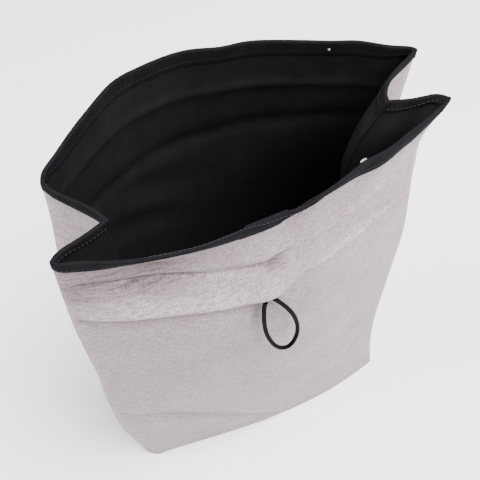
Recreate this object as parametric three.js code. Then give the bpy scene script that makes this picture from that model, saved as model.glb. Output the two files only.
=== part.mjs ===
// A soft storage bag for potatoes: a linen outside, a dark cotton lining, a bound rim,
// pleated sides and an elastic loop that holds the rolled top on a button at the back.
// Millimetres, +Z up. The front faces -Y, and the origin is on the floor under the base.
//
// The cloth is cut into the flat facets that its folds leave: walls that lean on the base folds,
// a side triangle that tips inwards, and two gusset triangles that fold between side and wall.

import * as THREE from 'three';

// Cut sizes of the cloth
const panelWidth = 260;
const baseDepth = 80;
const clothHeight = 355;
const bindingWidth = 11;

// How the bag stands open
const mouthWidth = 246;
const gussetFoldAngle = THREE.MathUtils.degToRad(37);
const baseBow = 14;
const rollFoldHeight = 290;
const frontFoldBulge = 32;
const backFoldBulge = 44;
const frontMouthBulge = 24.5;
const backMouthBulge = 56;

// The front is pulled in towards its right end, and the left side swells out low down
const frontFoldSkew = 0.5;
const frontMouthSkew = 0.08;
const skewSoftness = 0.22;
const leftSideSwell = 20;
const sideSwellTop = 260;

// Cloth thicknesses, and the play between layers
const linenThickness = 0.7;
const liningThickness = 0.5;
const tapeThickness = 0.6;
const layerGap = 0.3;

// Room that a fold needs so that its facets turn without touching
const wallEdgeSetback = 0.4;
const footClearance = 0.6;
const baseLiningClearance = 1;
const shellFoldGap = 0.4;
const liningFoldGap = 1;
const foldBevelAngle = THREE.MathUtils.degToRad(67);
const sideFoldSetback = 1.5;
const narrowestTip = 1.6;
const bindingEndSetback = 4.6;
const bindingCornerSetback = 6.5;
const bindingValleySetback = 6;

// Elastic loop and its stitched root
const cordDiameter = 3;
const cordSides = 8;
const cordSteps = 32;
const loopHeight = 286;
const loopAcross = -16;
const tackWidth = 12;
const tackHeight = 6;
const tackThickness = 0.9;

// Button at the back and its thread shank
const buttonDiameter = 18;
const buttonThickness = 3.4;
const buttonDish = 0.9;
const buttonRimWidth = 2.6;
const buttonEdgeRound = 0.8;
const buttonHeight = 238;
const shankDiameter = 2.4;
const shankLength = 3.2;
const roundSegments = 32;

const wallSegments = 24;
const swellSegments = 8;
const swellLevels = 6;

// Worked out from the sizes above
const halfGusset = baseDepth / 2;
const halfMouthGap = halfGusset * Math.sin(gussetFoldAngle);
const gussetTuck = halfGusset * Math.cos(gussetFoldAngle);
const wallLean = Math.asin((halfGusset - halfMouthGap) / clothHeight);
const rimHeight = clothHeight * Math.cos(wallLean);
const shellOffset = liningThickness + layerGap;
const wallThickness = shellOffset + linenThickness;
const liningInset = linenThickness + layerGap;
const gussetThickness = liningInset + liningThickness;
const wallFoot = linenThickness + footClearance;
const sideInset = panelWidth / 2 - mouthWidth / 2 + gussetTuck;
const sideRise = Math.hypot(sideInset, rimHeight);
const sideLean = Math.atan2(sideInset, rimHeight);

const LEFT = -1;
const RIGHT = 1;
const FRONT = -1;
const BACK = 1;
// At the base, at the roll fold and at the mouth
const bulge = { [FRONT]: [baseBow, frontFoldBulge, frontMouthBulge], [BACK]: [baseBow, backFoldBulge, backMouthBulge] };
const skew = { [FRONT]: [0, frontFoldSkew, frontMouthSkew], [BACK]: [0, 0, 0] };
const sideSwell = { [LEFT]: leftSideSwell, [RIGHT]: 0 };

const linen = new THREE.MeshStandardMaterial({ color: 0xc9c0bc, roughness: 0.92, metalness: 0 });
const cotton = new THREE.MeshStandardMaterial({ color: 0x1a1a1b, roughness: 0.95, metalness: 0 });
const tape = new THREE.MeshStandardMaterial({ color: 0x242325, roughness: 0.85, metalness: 0 });
const elastic = new THREE.MeshStandardMaterial({ color: 0x151515, roughness: 0.7, metalness: 0 });
const thread = new THREE.MeshStandardMaterial({ color: 0x202022, roughness: 0.8, metalness: 0 });
const horn = new THREE.MeshStandardMaterial({ color: 0x1d1b1a, roughness: 0.45, metalness: 0 });

const bag = new THREE.Group();

function addMesh(name, geometry, material) {
  const mesh = new THREE.Mesh(geometry, material);
  mesh.name = name;
  bag.add(mesh);
  return mesh;
}

// Sweeps a closed outline of [height, offset] points through stations and caps both ends.
// place(station, height, offset) says where a point lies.
function sweptSolid(outline, stations, place) {
  const count = outline.length;
  const positions = [];
  for (const station of stations) {
    for (const [height, offset] of outline) positions.push(...place(station, height, offset));
  }
  const faces = [];
  for (let ring = 0; ring + 1 < stations.length; ring += 1) {
    for (let i = 0; i < count; i += 1) {
      const next = (i + 1) % count;
      const a = ring * count + i;
      const b = ring * count + next;
      // The same diagonal on both faces of a layer, so that bowed layers stay clear of each other
      const rising = outline[next][0] >= outline[i][0];
      if (rising) faces.push([a, b, b + count], [a, b + count, a + count]);
      else faces.push([a, b, a + count], [b, b + count, a + count]);
    }
  }
  const flat = outline.map(([height, offset]) => new THREE.Vector2(height, offset));
  const turnsLeft = THREE.ShapeUtils.area(flat) > 0;
  const last = (stations.length - 1) * count;
  for (const [a, b, c] of THREE.ShapeUtils.triangulateShape(flat, [])) {
    const cap = turnsLeft ? [c, b, a] : [a, b, c];
    faces.push(cap, [cap[2] + last, cap[1] + last, cap[0] + last]);
  }
  return closedGeometry(positions, faces);
}

// Makes a closed mesh whose faces point out, whichever way its points were laid.
function closedGeometry(positions, faces) {
  const corner = (i) => new THREE.Vector3().fromArray(positions, i * 3);
  let volume = 0;
  for (const [a, b, c] of faces) volume += corner(a).dot(corner(b).cross(corner(c)));
  const index = volume > 0 ? faces.flat() : faces.map(([a, b, c]) => [a, c, b]).flat();
  const geometry = new THREE.BufferGeometry();
  geometry.setAttribute('position', new THREE.Float32BufferAttribute(positions, 3));
  geometry.setIndex(index);
  geometry.computeVertexNormals();
  return geometry;
}

function layerOutline(bottom, top, inner, outer) {
  return [[bottom, inner], [top, inner], [top, outer], [bottom, outer]];
}

// A layer that can bend at each of its levels, which are given from the lowest up
function steppedOutline(levels, inner, outer) {
  const up = levels.map((level) => [level, inner]);
  const down = levels.map((level) => [level, outer]).reverse();
  return [...up, ...down];
}

// Tape folded over the rim: a leaf on each side of the cloth and a bridge across its edge.
function bindingOutline(inner, outer) {
  const low = clothHeight - bindingWidth;
  const edge = clothHeight + layerGap;
  const top = edge + tapeThickness;
  const near = inner - layerGap;
  const far = outer + layerGap;
  return [
    [low, near - tapeThickness], [top, near - tapeThickness], [top, far + tapeThickness],
    [low, far + tapeThickness], [low, far], [edge, far], [edge, near], [low, near],
  ];
}

function evenSteps(from, to, count) {
  return Array.from({ length: count + 1 }, (_, i) => THREE.MathUtils.lerp(from, to, i / count));
}

// A value that goes evenly from the base to the roll fold, and from there to the mouth
function alongWall([atBase, atFold, atMouth], height) {
  const above = height - rollFoldHeight;
  if (above <= 0) return THREE.MathUtils.lerp(atBase, atFold, height / rollFoldHeight);
  return THREE.MathUtils.lerp(atFold, atMouth, above / (clothHeight - rollFoldHeight));
}

// How far a wall stands out: a round swell that falls away faster to the right where it is skewed.
function swellAt(facing, across, height) {
  const towardsRight = (across + Math.hypot(across, skewSoftness)) / 2;
  const round = (1 - across * across) * (1 - alongWall(skew[facing], height) * towardsRight);
  return alongWall(bulge[facing], height) * round;
}

// A point of the front or back wall. across runs from -1 to 1 between the corner folds,
// height follows the cloth up from the base fold, and offset goes outwards from the lining's face.
function wallPoint(facing, across, height, offset) {
  const share = height / clothHeight;
  const halfWidth = THREE.MathUtils.lerp(panelWidth, mouthWidth, share) / 2;
  const out = swellAt(facing, across, height) + offset;
  const depth = halfGusset - height * Math.sin(wallLean) + out * Math.cos(wallLean);
  return [across * halfWidth, facing * depth, height * Math.cos(wallLean) + out * Math.sin(wallLean)];
}

// A point of a side triangle, which leans in from the base edge to the pleat's valley and may swell out.
function sidePoint(side, across, height, offset) {
  const halfWidth = halfGusset * (1 - height / sideRise) - sideFoldSetback;
  const inwards = height * Math.sin(sideLean) + offset * Math.cos(sideLean);
  const rounding = Math.sin(Math.PI * Math.min(1, height / sideSwellTop)) * (1 - across * across);
  const x = side * (panelWidth / 2 - inwards + sideSwell[side] * rounding);
  return [x, across * halfWidth, height * Math.cos(sideLean) - offset * Math.sin(sideLean)];
}

// A point of a gusset triangle, which hangs on a corner fold and narrows to nothing at the base.
// across runs from 0 to 1 between the fit's corner and valley setbacks, and offset goes into the bag.
// A bevelled edge starts further back the deeper it lies, so that the fold can close on itself.
function gussetPoint(side, facing, fit, across, height, offset) {
  const corner = new THREE.Vector3(...wallPoint(facing, side, height, 0));
  const rimCorner = new THREE.Vector3(...wallPoint(facing, side, clothHeight, 0));
  const baseCorner = new THREE.Vector3(...wallPoint(facing, side, 0, 0));
  const valley = new THREE.Vector3(side * (mouthWidth / 2 - gussetTuck), 0, rimHeight);
  const towardsValley = valley.sub(rimCorner).normalize();
  const fold = rimCorner.sub(baseCorner).normalize();
  const inwards = fold.clone().cross(towardsValley).normalize();
  if (inwards.y * facing < 0) inwards.negate();
  const width = (halfGusset * height) / clothHeight;
  const start = fit.corner + offset * fit.bevel;
  const reach = THREE.MathUtils.lerp(start, width - fit.valley, across);
  return corner.addScaledVector(towardsValley, reach).addScaledVector(inwards, offset).toArray();
}

// Lowest height at which a gusset layer is still wide enough to be cut
function gussetFoot(fit, offset) {
  const start = fit.corner + offset * fit.bevel;
  return (clothHeight * (start + fit.valley + narrowestTip)) / halfGusset;
}

const foldBevel = Math.tan(foldBevelAngle);
const shellFit = { corner: shellFoldGap, valley: sideFoldSetback, bevel: foldBevel };
const liningFit = { corner: liningFoldGap, valley: sideFoldSetback, bevel: foldBevel };
const bindingFit = { corner: bindingCornerSetback, valley: bindingValleySetback, bevel: 0 };

// Base: two layers with the bowed outline that the filled walls give it
function baseSheet(halfDepth, halfWidth, bottom, thickness) {
  const outline = layerOutline(-1, 1, bottom, bottom + thickness);
  const place = (across, along, height) => {
    const depth = halfDepth + baseBow * (1 - across * across);
    return [across * halfWidth, along * depth, height];
  };
  return sweptSolid(outline, evenSteps(-1, 1, wallSegments), place);
}

addMesh('shell_base_panel', baseSheet(halfGusset + wallThickness, panelWidth / 2, 0, linenThickness), linen);
const liningHalfWidth = panelWidth / 2 - gussetThickness - baseLiningClearance;
const liningBase = baseSheet(halfGusset - baseLiningClearance, liningHalfWidth, liningInset, liningThickness);
addMesh('lining_base_panel', liningBase, cotton);

// Front and back walls: linen outside, lining inside and the tape over both at the rim
for (const [wall, facing] of [['front', FRONT], ['back', BACK]]) {
  const edge = 1 - wallEdgeSetback / (mouthWidth / 2);
  const stations = evenSteps(-edge, edge, wallSegments);
  const bindingEnd = 1 - bindingEndSetback / (mouthWidth / 2);
  const bindingStations = evenSteps(-bindingEnd, bindingEnd, wallSegments);
  const place = (across, height, offset) => wallPoint(facing, across, height, offset);
  const levels = [wallFoot, rollFoldHeight, clothHeight];
  const shellLayer = steppedOutline(levels, shellOffset, wallThickness);
  const liningLayer = steppedOutline(levels, 0, liningThickness);
  addMesh(`shell_${wall}_panel`, sweptSolid(shellLayer, stations, place), linen);
  addMesh(`lining_${wall}_panel`, sweptSolid(liningLayer, stations, place), cotton);
  const bindingLayer = bindingOutline(0, wallThickness);
  addMesh(`binding_${wall}`, sweptSolid(bindingLayer, bindingStations, place), tape);
}

// Side triangles and the gusset triangles that fold between them and the walls
for (const [sideName, side] of [['left', LEFT], ['right', RIGHT]]) {
  const sideTop = sideRise * (1 - (sideFoldSetback + narrowestTip) / halfGusset);
  const placeSide = (across, height, offset) => sidePoint(side, across, height, offset);
  const levels = sideSwell[side] > 0 ? [...evenSteps(wallFoot, sideSwellTop, swellLevels), sideTop] : [wallFoot, sideTop];
  const stations = sideSwell[side] > 0 ? evenSteps(-1, 1, swellSegments) : [-1, 1];
  const sideShell = steppedOutline(levels, 0, linenThickness);
  const sideLining = steppedOutline(levels, liningInset, gussetThickness);
  addMesh(`shell_${sideName}_side`, sweptSolid(sideShell, stations, placeSide), linen);
  addMesh(`lining_${sideName}_side`, sweptSolid(sideLining, stations, placeSide), cotton);

  for (const [wall, facing] of [['front', FRONT], ['back', BACK]]) {
    const placeWith = (fit) => (across, height, offset) =>
      gussetPoint(side, facing, fit, across, height, offset);
    const name = `${sideName}_${wall}_gusset`;
    const shellFoot = gussetFoot(shellFit, linenThickness);
    const liningFoot = gussetFoot(liningFit, gussetThickness);
    const shellLayer = layerOutline(shellFoot, clothHeight, 0, linenThickness);
    const liningLayer = layerOutline(liningFoot, clothHeight, liningInset, gussetThickness);
    const bindingLayer = bindingOutline(0, gussetThickness);
    addMesh(`shell_${name}`, sweptSolid(shellLayer, [0, 1], placeWith(shellFit)), linen);
    addMesh(`lining_${name}`, sweptSolid(liningLayer, [0, 1], placeWith(liningFit)), cotton);
    addMesh(`binding_${name}`, sweptSolid(bindingLayer, [0, 1], placeWith(bindingFit)), tape);
  }
}

// Stitched root of the loop: a pad of bar-tack thread sewn to the front panel
const loopShare = loopAcross / (mouthWidth / 2);
const tackFace = new THREE.Vector3(...wallPoint(FRONT, loopShare, loopHeight, wallThickness + layerGap));
const tackShare = tackWidth / mouthWidth;
const swellBelow = swellAt(FRONT, loopShare, loopHeight - tackHeight);
const frontRise = (swellAt(FRONT, loopShare, loopHeight) - swellBelow) / tackHeight;
const frontPitch = wallLean - Math.atan(frontRise);
const swellLeft = swellAt(FRONT, loopShare - tackShare, loopHeight);
const frontSpread = (swellLeft - swellAt(FRONT, loopShare + tackShare, loopHeight)) / tackWidth;
const loopRoot = new THREE.Group();
loopRoot.position.copy(tackFace);
loopRoot.rotation.x = -frontPitch;
loopRoot.rotation.z = Math.atan(frontSpread);
bag.add(loopRoot);

const tackPad = new THREE.BoxGeometry(tackWidth, tackThickness, tackHeight);
const tack = addMesh('loop_bar_tack', tackPad, thread);
tack.position.y = -tackThickness / 2;
loopRoot.add(tack);

// Elastic cord: [across, down, out from the tack's front] of its centre line, chosen by hand
const cordRadius = cordDiameter / 2;
const cordRoute = [
  [-3.5, 0, 0], [-4.4, 6, 0.6], [-4.7, 14, 1.6], [-4.7, 22.5, 2.6], [-4, 32, 3.6], [-2.4, 42, 4.8],
  [0.9, 53.4, 6.1], [4.3, 61, 7], [8.3, 66.2, 7.5], [13.1, 67.9, 7.7], [17.1, 64.2, 7.3],
  [19.6, 56.4, 6.4], [20.1, 47.4, 5.4], [19, 38, 4.4], [16, 26.6, 3.1], [11.9, 16.8, 1.9],
  [7.9, 9, 1.1], [4.4, 3, 0.3], [2.5, 0, 0],
];
const cordStandoff = tackThickness + layerGap + cordRadius;
const cordPoints = cordRoute.map(([x, down, out]) => new THREE.Vector3(x, -cordStandoff - out, -down));
const cordSection = new THREE.Shape();
for (let i = 0; i < cordSides; i += 1) {
  const angle = (2 * Math.PI * i) / cordSides;
  const point = [cordRadius * Math.cos(angle), cordRadius * Math.sin(angle)];
  if (i === 0) cordSection.moveTo(...point);
  else cordSection.lineTo(...point);
}
const cordGeometry = new THREE.ExtrudeGeometry(cordSection, {
  steps: cordSteps,
  extrudePath: new THREE.CatmullRomCurve3(cordPoints),
});
loopRoot.add(addMesh('loop_cord', cordGeometry, elastic));

// Button: a dished disc on a thread shank, standing off the middle of the back panel
const buttonSeat = new THREE.Vector3(...wallPoint(BACK, 0, buttonHeight, wallThickness));
const backPitch = Math.atan((backFoldBulge - baseBow) / rollFoldHeight) - wallLean;
const buttonMount = new THREE.Group();
buttonMount.position.copy(buttonSeat);
buttonMount.rotation.x = -backPitch;
bag.add(buttonMount);

const shank = addMesh(
  'button_thread',
  new THREE.CylinderGeometry(shankDiameter / 2, shankDiameter / 2, shankLength, roundSegments / 2),
  thread,
);
shank.position.y = layerGap + shankLength / 2;
buttonMount.add(shank);

const buttonRadius = buttonDiameter / 2;
const dishRadius = buttonRadius - buttonRimWidth;
const profile = [
  [0, 0], [buttonRadius - buttonEdgeRound, 0], [buttonRadius, buttonEdgeRound],
  [buttonRadius, buttonThickness - buttonEdgeRound], [buttonRadius - buttonEdgeRound, buttonThickness],
  [dishRadius, buttonThickness], [dishRadius - buttonDish, buttonThickness - buttonDish],
  [0, buttonThickness - buttonDish],
];
const buttonProfile = profile.map(([radius, height]) => new THREE.Vector2(radius, height));
const button = addMesh('closure_button', new THREE.LatheGeometry(buttonProfile, roundSegments), horn);
button.position.y = layerGap + shankLength + layerGap;
buttonMount.add(button);

export default bag;
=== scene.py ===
# %% [markdown]
# # A soft bag for storing potatoes
# The bag stands open on a pale table: natural linen outside, black cotton inside, black tape round the rim,
# pleated sides, and an elastic loop on the front. The CAD model gives the frame that everything rides on.

# %% Load the frame
import math

import bmesh
import bpy
import numpy as np
from mathutils import Matrix, Vector


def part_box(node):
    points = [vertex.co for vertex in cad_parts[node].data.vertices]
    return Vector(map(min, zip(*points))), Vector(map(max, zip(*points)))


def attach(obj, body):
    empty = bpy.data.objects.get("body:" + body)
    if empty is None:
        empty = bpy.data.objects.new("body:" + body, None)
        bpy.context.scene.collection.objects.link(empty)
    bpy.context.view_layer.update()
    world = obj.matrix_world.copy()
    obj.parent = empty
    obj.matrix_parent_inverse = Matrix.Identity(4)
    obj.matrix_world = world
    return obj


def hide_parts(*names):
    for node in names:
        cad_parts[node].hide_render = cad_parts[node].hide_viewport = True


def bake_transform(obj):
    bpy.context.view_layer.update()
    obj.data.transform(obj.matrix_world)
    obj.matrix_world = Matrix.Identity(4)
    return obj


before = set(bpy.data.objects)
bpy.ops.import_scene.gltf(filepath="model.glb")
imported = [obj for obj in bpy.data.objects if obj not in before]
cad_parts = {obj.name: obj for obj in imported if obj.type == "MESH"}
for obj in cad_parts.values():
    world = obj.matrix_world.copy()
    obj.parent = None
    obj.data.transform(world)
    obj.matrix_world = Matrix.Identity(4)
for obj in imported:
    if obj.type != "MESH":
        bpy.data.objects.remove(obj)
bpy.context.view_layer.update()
MM = 0.001

# %% [markdown]
# ## Camera
# The photograph looks down into the mouth from the front left. Its place was found by matching the rim
# corners and base corners. A camera's own axes are right, up and backwards, so those three directions are
# built from azimuth, elevation and roll and become the columns of its matrix. A small shift sets the framing.

# %% Camera
IMAGE_SIZE = 480
SENSOR_WIDTH = 36
FOCAL_PIXELS = 620
AZIMUTH, ELEVATION, ROLL = (math.radians(angle) for angle in (-26.68, 62.28, 0.76))
CAMERA_DISTANCE = 0.5199
NEAREST_SEEN = 0.01
LOOK_AT = Vector((0, 0, 0.165))
PICTURE_OFFSET = (9.14, 62.45)

backwards = Vector((
    math.sin(AZIMUTH) * math.cos(ELEVATION),
    -math.cos(AZIMUTH) * math.cos(ELEVATION),
    math.sin(ELEVATION),
))
level_right = Vector((math.cos(AZIMUTH), math.sin(AZIMUTH), 0))
level_up = backwards.cross(level_right)
right = math.cos(ROLL) * level_right + math.sin(ROLL) * level_up
up = -math.sin(ROLL) * level_right + math.cos(ROLL) * level_up

lens = bpy.data.cameras.new("photo_camera")
lens.sensor_width = SENSOR_WIDTH
lens.lens = FOCAL_PIXELS * SENSOR_WIDTH / IMAGE_SIZE
lens.shift_x = -PICTURE_OFFSET[0] / IMAGE_SIZE
lens.shift_y = PICTURE_OFFSET[1] / IMAGE_SIZE
lens.clip_start = NEAREST_SEEN
camera = bpy.data.objects.new("photo_camera", lens)
turn = Matrix((right, up, backwards)).transposed().to_4x4()
camera.matrix_world = Matrix.Translation(LOOK_AT + CAMERA_DISTANCE * backwards) @ turn
bpy.context.collection.objects.link(camera)
bpy.context.scene.camera = camera
print("camera at", [round(x, 3) for x in camera.matrix_world.translation])

# %% [markdown]
# ## Materials
# Every finish is made of nodes. One function turns a hex colour into the linear numbers that shaders use.
# Another fills a node's inputs: a number is set, and a node or one of its outputs is linked. A third adds a
# node with its settings, its inputs and its colour stops. So a material reads as a list of steps.

# %% Helpers for materials
def linear(hex_colour):
    parts = [int(hex_colour[i:i + 2], 16) / 255 for i in (1, 3, 5)]
    return [p / 12.92 if p <= 0.04045 else ((p + 0.055) / 1.055) ** 2.4 for p in parts] + [1]


def fill(tree, node, inputs):
    """A node stands for its first output."""
    for socket, source in inputs.items():
        if isinstance(source, bpy.types.Node):
            source = source.outputs[0]
        if isinstance(source, bpy.types.NodeSocket):
            tree.links.new(source, node.inputs[socket])
        else:
            node.inputs[socket].default_value = source


def add_node(tree, kind, settings=None, inputs=None, stops=()):
    node = tree.nodes.new(kind)
    for name, value in (settings or {}).items():
        setattr(node, name, value)
    fill(tree, node, inputs or {})
    for i, (place, hex_colour) in enumerate(stops):
        stop = node.color_ramp.elements[i] if i < 2 else node.color_ramp.elements.new(place)
        stop.position = place
        stop.color = linear(hex_colour)
    return node


def new_material(name):
    material = bpy.data.materials.new(name)
    material.use_nodes = True
    tree = material.node_tree
    return material, tree, tree.nodes["Principled BSDF"]


TIMES = {"operation": "MULTIPLY"}
TIMES_PLUS = {"operation": "MULTIPLY_ADD"}
# A mix node takes its two colours at inputs 6 and 7 and gives the result at output 2
DARKENED = {"data_type": "RGBA", "blend_type": "MULTIPLY"}
BUMP_STRENGTH = 0.5
print("a mid grey in linear light:", round(linear("#808080")[0], 3))

# %% [markdown]
# ### Linen
# Linen is woven from flax yarn that is thicker in some places than in others. The eye sees a fine grid,
# streaks where a thick yarn runs, and soft patches of warmer and cooler grey. The UV map is in metres of
# flat cloth, so the grid follows every fold. Real yarns lie about 0.6 mm apart. That is under a pixel here,
# so the grid is drawn at 1.1 mm. Where the top has been rolled down before, fine level wrinkles stay in the
# cloth, and there the colour is also darkened as painted shade: an attribute on the cloth says how much of
# both, and cloth without that attribute has none.

# %% Linen
YARN_PITCH = 1.1 * MM
SLUB = (6 * MM, 0.95 * MM)
WRINKLE = (24 * MM, 1.7 * MM)
PATCH_SIZE, GRAIN_SIZE, FLECK_SIZE = 34 * MM, 1.0 * MM, 1.7 * MM
WEFT_SHARE, GRID_SHARE = 0.62, 0.25
LINEN_RELIEF = 0.6 * MM

linen, tree, shader = new_material("plain_woven_linen")
cut = add_node(tree, "ShaderNodeUVMap", {"uv_map": "cut"})
streaks = []
for wide, high in (SLUB, SLUB[::-1], WRINKLE):
    drawn_out = add_node(tree, "ShaderNodeMapping", inputs={"Vector": cut, "Scale": (1 / wide, 1 / high, 1)})
    streaks.append(add_node(tree, "ShaderNodeTexNoise", inputs={
        "Vector": drawn_out, "Scale": 1, "Detail": 3, "Roughness": 0.6}))
weft, warp, wrinkles = streaks
warp_part = add_node(tree, "ShaderNodeMath", TIMES, {0: warp, 1: 1 - WEFT_SHARE})
yarns = add_node(tree, "ShaderNodeMath", TIMES_PLUS, {0: weft, 1: WEFT_SHARE, 2: warp_part})
colour = add_node(tree, "ShaderNodeValToRGB", inputs={"Fac": yarns},
                  stops=((0.30, "#726465"), (0.70, "#c2b5b6"), (0.5, "#a19596")))
for size, detail, roughness, *stops in (
        (PATCH_SIZE, 4, 0.5, (0.32, "#f0e9e8"), (0.70, "#ffffff")),
        (GRAIN_SIZE, 2, 0.7, (0.3, "#d0cccd"), (0.65, "#ffffff")),
        (FLECK_SIZE, 0, 0.5, (0.81, "#ffffff"), (0.85, "#8d7d79"))):
    pattern = add_node(tree, "ShaderNodeTexNoise", inputs={
        "Vector": cut, "Scale": 1 / size, "Detail": detail, "Roughness": roughness})
    tint = add_node(tree, "ShaderNodeValToRGB", inputs={"Fac": pattern}, stops=stops)
    colour = add_node(tree, "ShaderNodeMix", DARKENED, {"Factor": 1.0, 6: colour, 7: tint}).outputs[2]
# Painted shade: where the attribute says, the wrinkle pattern darkens the linen's colour in place of the
# shade in the wrinkles and the hollow
wrinkle_and_shade = add_node(tree, "ShaderNodeAttribute", {"attribute_name": "wrinkle_and_shade"}).outputs["Fac"]
painted_wrinkle_shade = add_node(tree, "ShaderNodeValToRGB", inputs={"Fac": wrinkles},
                   stops=((0.34, "#b6b1b1"), (0.64, "#efecec")))
linen_colour_and_painted_shade = add_node(tree, "ShaderNodeMix", DARKENED, {"Factor": wrinkle_and_shade, 6: colour, 7: painted_wrinkle_shade}).outputs[2]
print("nodes for the linen's colour:", len(tree.nodes))

# %% [markdown]
# ### Relief of the linen
# The weave is also felt as relief: crossing waves at the yarn pitch, the thick yarns, and the wrinkles of the
# roll. A bump node is enough for it, because all of it is finer than the picture shows as shape.

# %% Relief of the linen
split = add_node(tree, "ShaderNodeSeparateXYZ", inputs={"Vector": cut})
waves = []
for axis in "XY":
    turns = add_node(tree, "ShaderNodeMath", TIMES, {0: split.outputs[axis], 1: 2 * math.pi / YARN_PITCH})
    waves.append(add_node(tree, "ShaderNodeMath", {"operation": "SINE"}, {0: turns}))
grid = add_node(tree, "ShaderNodeMath", TIMES, {0: waves[0], 1: waves[1]})
woven = add_node(tree, "ShaderNodeMath", TIMES_PLUS, {0: grid, 1: GRID_SHARE, 2: yarns})
relief = add_node(tree, "ShaderNodeMath", TIMES_PLUS, {0: wrinkles, 1: wrinkle_and_shade, 2: woven})
bump = add_node(tree, "ShaderNodeBump", inputs={
    "Height": relief, "Strength": BUMP_STRENGTH, "Distance": LINEN_RELIEF})
fill(tree, shader, {"Base Color": linen_colour_and_painted_shade, "Normal": bump, "Roughness": 0.92, "Specular IOR Level": 0.25,
                    "Sheen Weight": 0.12})
print("linen yarns drawn every", YARN_PITCH / MM, "mm")

# %% [markdown]
# ### Black cotton, twill tape, elastic and thread
# The lining is a fine black cotton: nearly flat, with faint yarn lines and a little lint-grey variation.
# The tape is a twill, so its ribs run at a slant. The elastic has a braided cover, drawn as slanting ribs
# round the cord, and the thread is twisted. All of them are ribs over a mottled black, so one function makes
# them from a few sizes.

# %% Black cloths and cords
# A wave texture repeats once in 2 pi / 20 of its own units
WAVE_TURN = 20
MOTTLES_PER_METRE = 90


def black_material(name, low, high, rib, rib_share, slant, roughness, specular, relief):
    """A dark finish between two colours. rib and relief are in millimetres, slant in degrees."""
    material, tree, shader = new_material(name)
    cut = add_node(tree, "ShaderNodeUVMap", {"uv_map": "cut"})
    turned = add_node(tree, "ShaderNodeMapping", inputs={
        "Vector": cut, "Rotation": (0, 0, math.radians(slant))})
    ribs = add_node(tree, "ShaderNodeTexWave", {"wave_type": "BANDS", "bands_direction": "X"}, {
        "Vector": turned, "Scale": 2 * math.pi / (WAVE_TURN * rib * MM), "Distortion": 0.6, "Detail": 2,
        "Detail Scale": 2})
    mottle = add_node(tree, "ShaderNodeTexNoise", inputs={
        "Vector": cut, "Scale": MOTTLES_PER_METRE, "Detail": 5, "Roughness": 0.7})
    mottle_part = add_node(tree, "ShaderNodeMath", TIMES, {0: mottle, 1: 1 - rib_share})
    tone = add_node(tree, "ShaderNodeMath", TIMES_PLUS, {
        0: ribs.outputs["Fac"], 1: rib_share, 2: mottle_part})
    shade = add_node(tree, "ShaderNodeValToRGB", inputs={"Fac": tone}, stops=((0.25, low), (0.8, high)))
    bump = add_node(tree, "ShaderNodeBump", inputs={
        "Height": tone, "Strength": BUMP_STRENGTH, "Distance": relief * MM})
    fill(tree, shader, {"Base Color": shade, "Normal": bump, "Roughness": roughness,
                        "Specular IOR Level": specular})
    return material


cotton = black_material("black_cotton_lining", "#0d0d0e", "#171718", rib=1.2, rib_share=0.08, slant=0,
                        roughness=0.95, specular=0.08, relief=0.2)
tape = black_material("black_twill_tape", "#08080a", "#19181b", rib=1.3, rib_share=0.3, slant=52,
                      roughness=0.9, specular=0.05, relief=0.2)
elastic = black_material("braided_elastic_cord", "#020203", "#070708", rib=1.6, rib_share=0.4, slant=38,
                         roughness=0.75, specular=0.05, relief=0.35)
black_thread = black_material("black_sewing_thread", "#1c1c1e", "#343438", rib=0.8, rib_share=0.4, slant=30,
                              roughness=0.6, specular=0.4, relief=0.1)
thread = black_material("dark_grey_topstitch_thread", "#1e1e21", "#302f33", rib=0.8, rib_share=0.4, slant=30,
                        roughness=0.7, specular=0.2, relief=0.1)
print("materials:", [m.name for m in bpy.data.materials])

# %% [markdown]
# ### Moulded button
# The button is dark moulded plastic, satin and faintly mottled. It keeps its CAD mesh, which has no UV map
# of cloth, so the mottling reads Object coordinates.

# %% Button finish
BUTTON_MOTTLES_PER_METRE = 240
button_finish, tree, shader = new_material("moulded_dark_button")
button_place = add_node(tree, "ShaderNodeTexCoord").outputs["Object"]
button_mottle = add_node(tree, "ShaderNodeTexNoise", inputs={
    "Vector": button_place, "Scale": BUTTON_MOTTLES_PER_METRE, "Detail": 4})
button_colour = add_node(tree, "ShaderNodeValToRGB", inputs={"Fac": button_mottle},
                         stops=((0.35, "#1a1817"), (0.7, "#332f2c")))
fill(tree, shader, {"Base Color": button_colour, "Roughness": 0.38, "Coat Weight": 0.2})
print("button mottled about every", round(1 / (BUTTON_MOTTLES_PER_METRE * MM), 1), "mm")

# %% [markdown]
# ## Swept pieces
# Cords, threads and rounded turns of tape are tubes along a route. A curve object could be bevelled for
# that, but a mesh that is built ring by ring can carry a UV in metres, so a braid or twist keeps its size.

# %% Helpers for swept pieces
SHARP_ANGLE = math.radians(52)


def smooth_route(stops, steps):
    """Points evenly spaced in number along a Catmull-Rom curve through the stops."""
    stops = np.asarray(stops, float)
    ends = np.vstack([2 * stops[0] - stops[1], stops, 2 * stops[-1] - stops[-2]])
    at = np.linspace(0, len(stops) - 1, steps)
    i = np.minimum(at.astype(int), len(stops) - 2)
    t = (at - i)[:, None]
    a, b, c, d = ends[i], ends[i + 1], ends[i + 2], ends[i + 3]
    squared, cubed = 2 * a - 5 * b + 4 * c - d, 3 * b - a - 3 * c + d
    return 0.5 * (2 * b + (c - a) * t + squared * t ** 2 + cubed * t ** 3)


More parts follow.
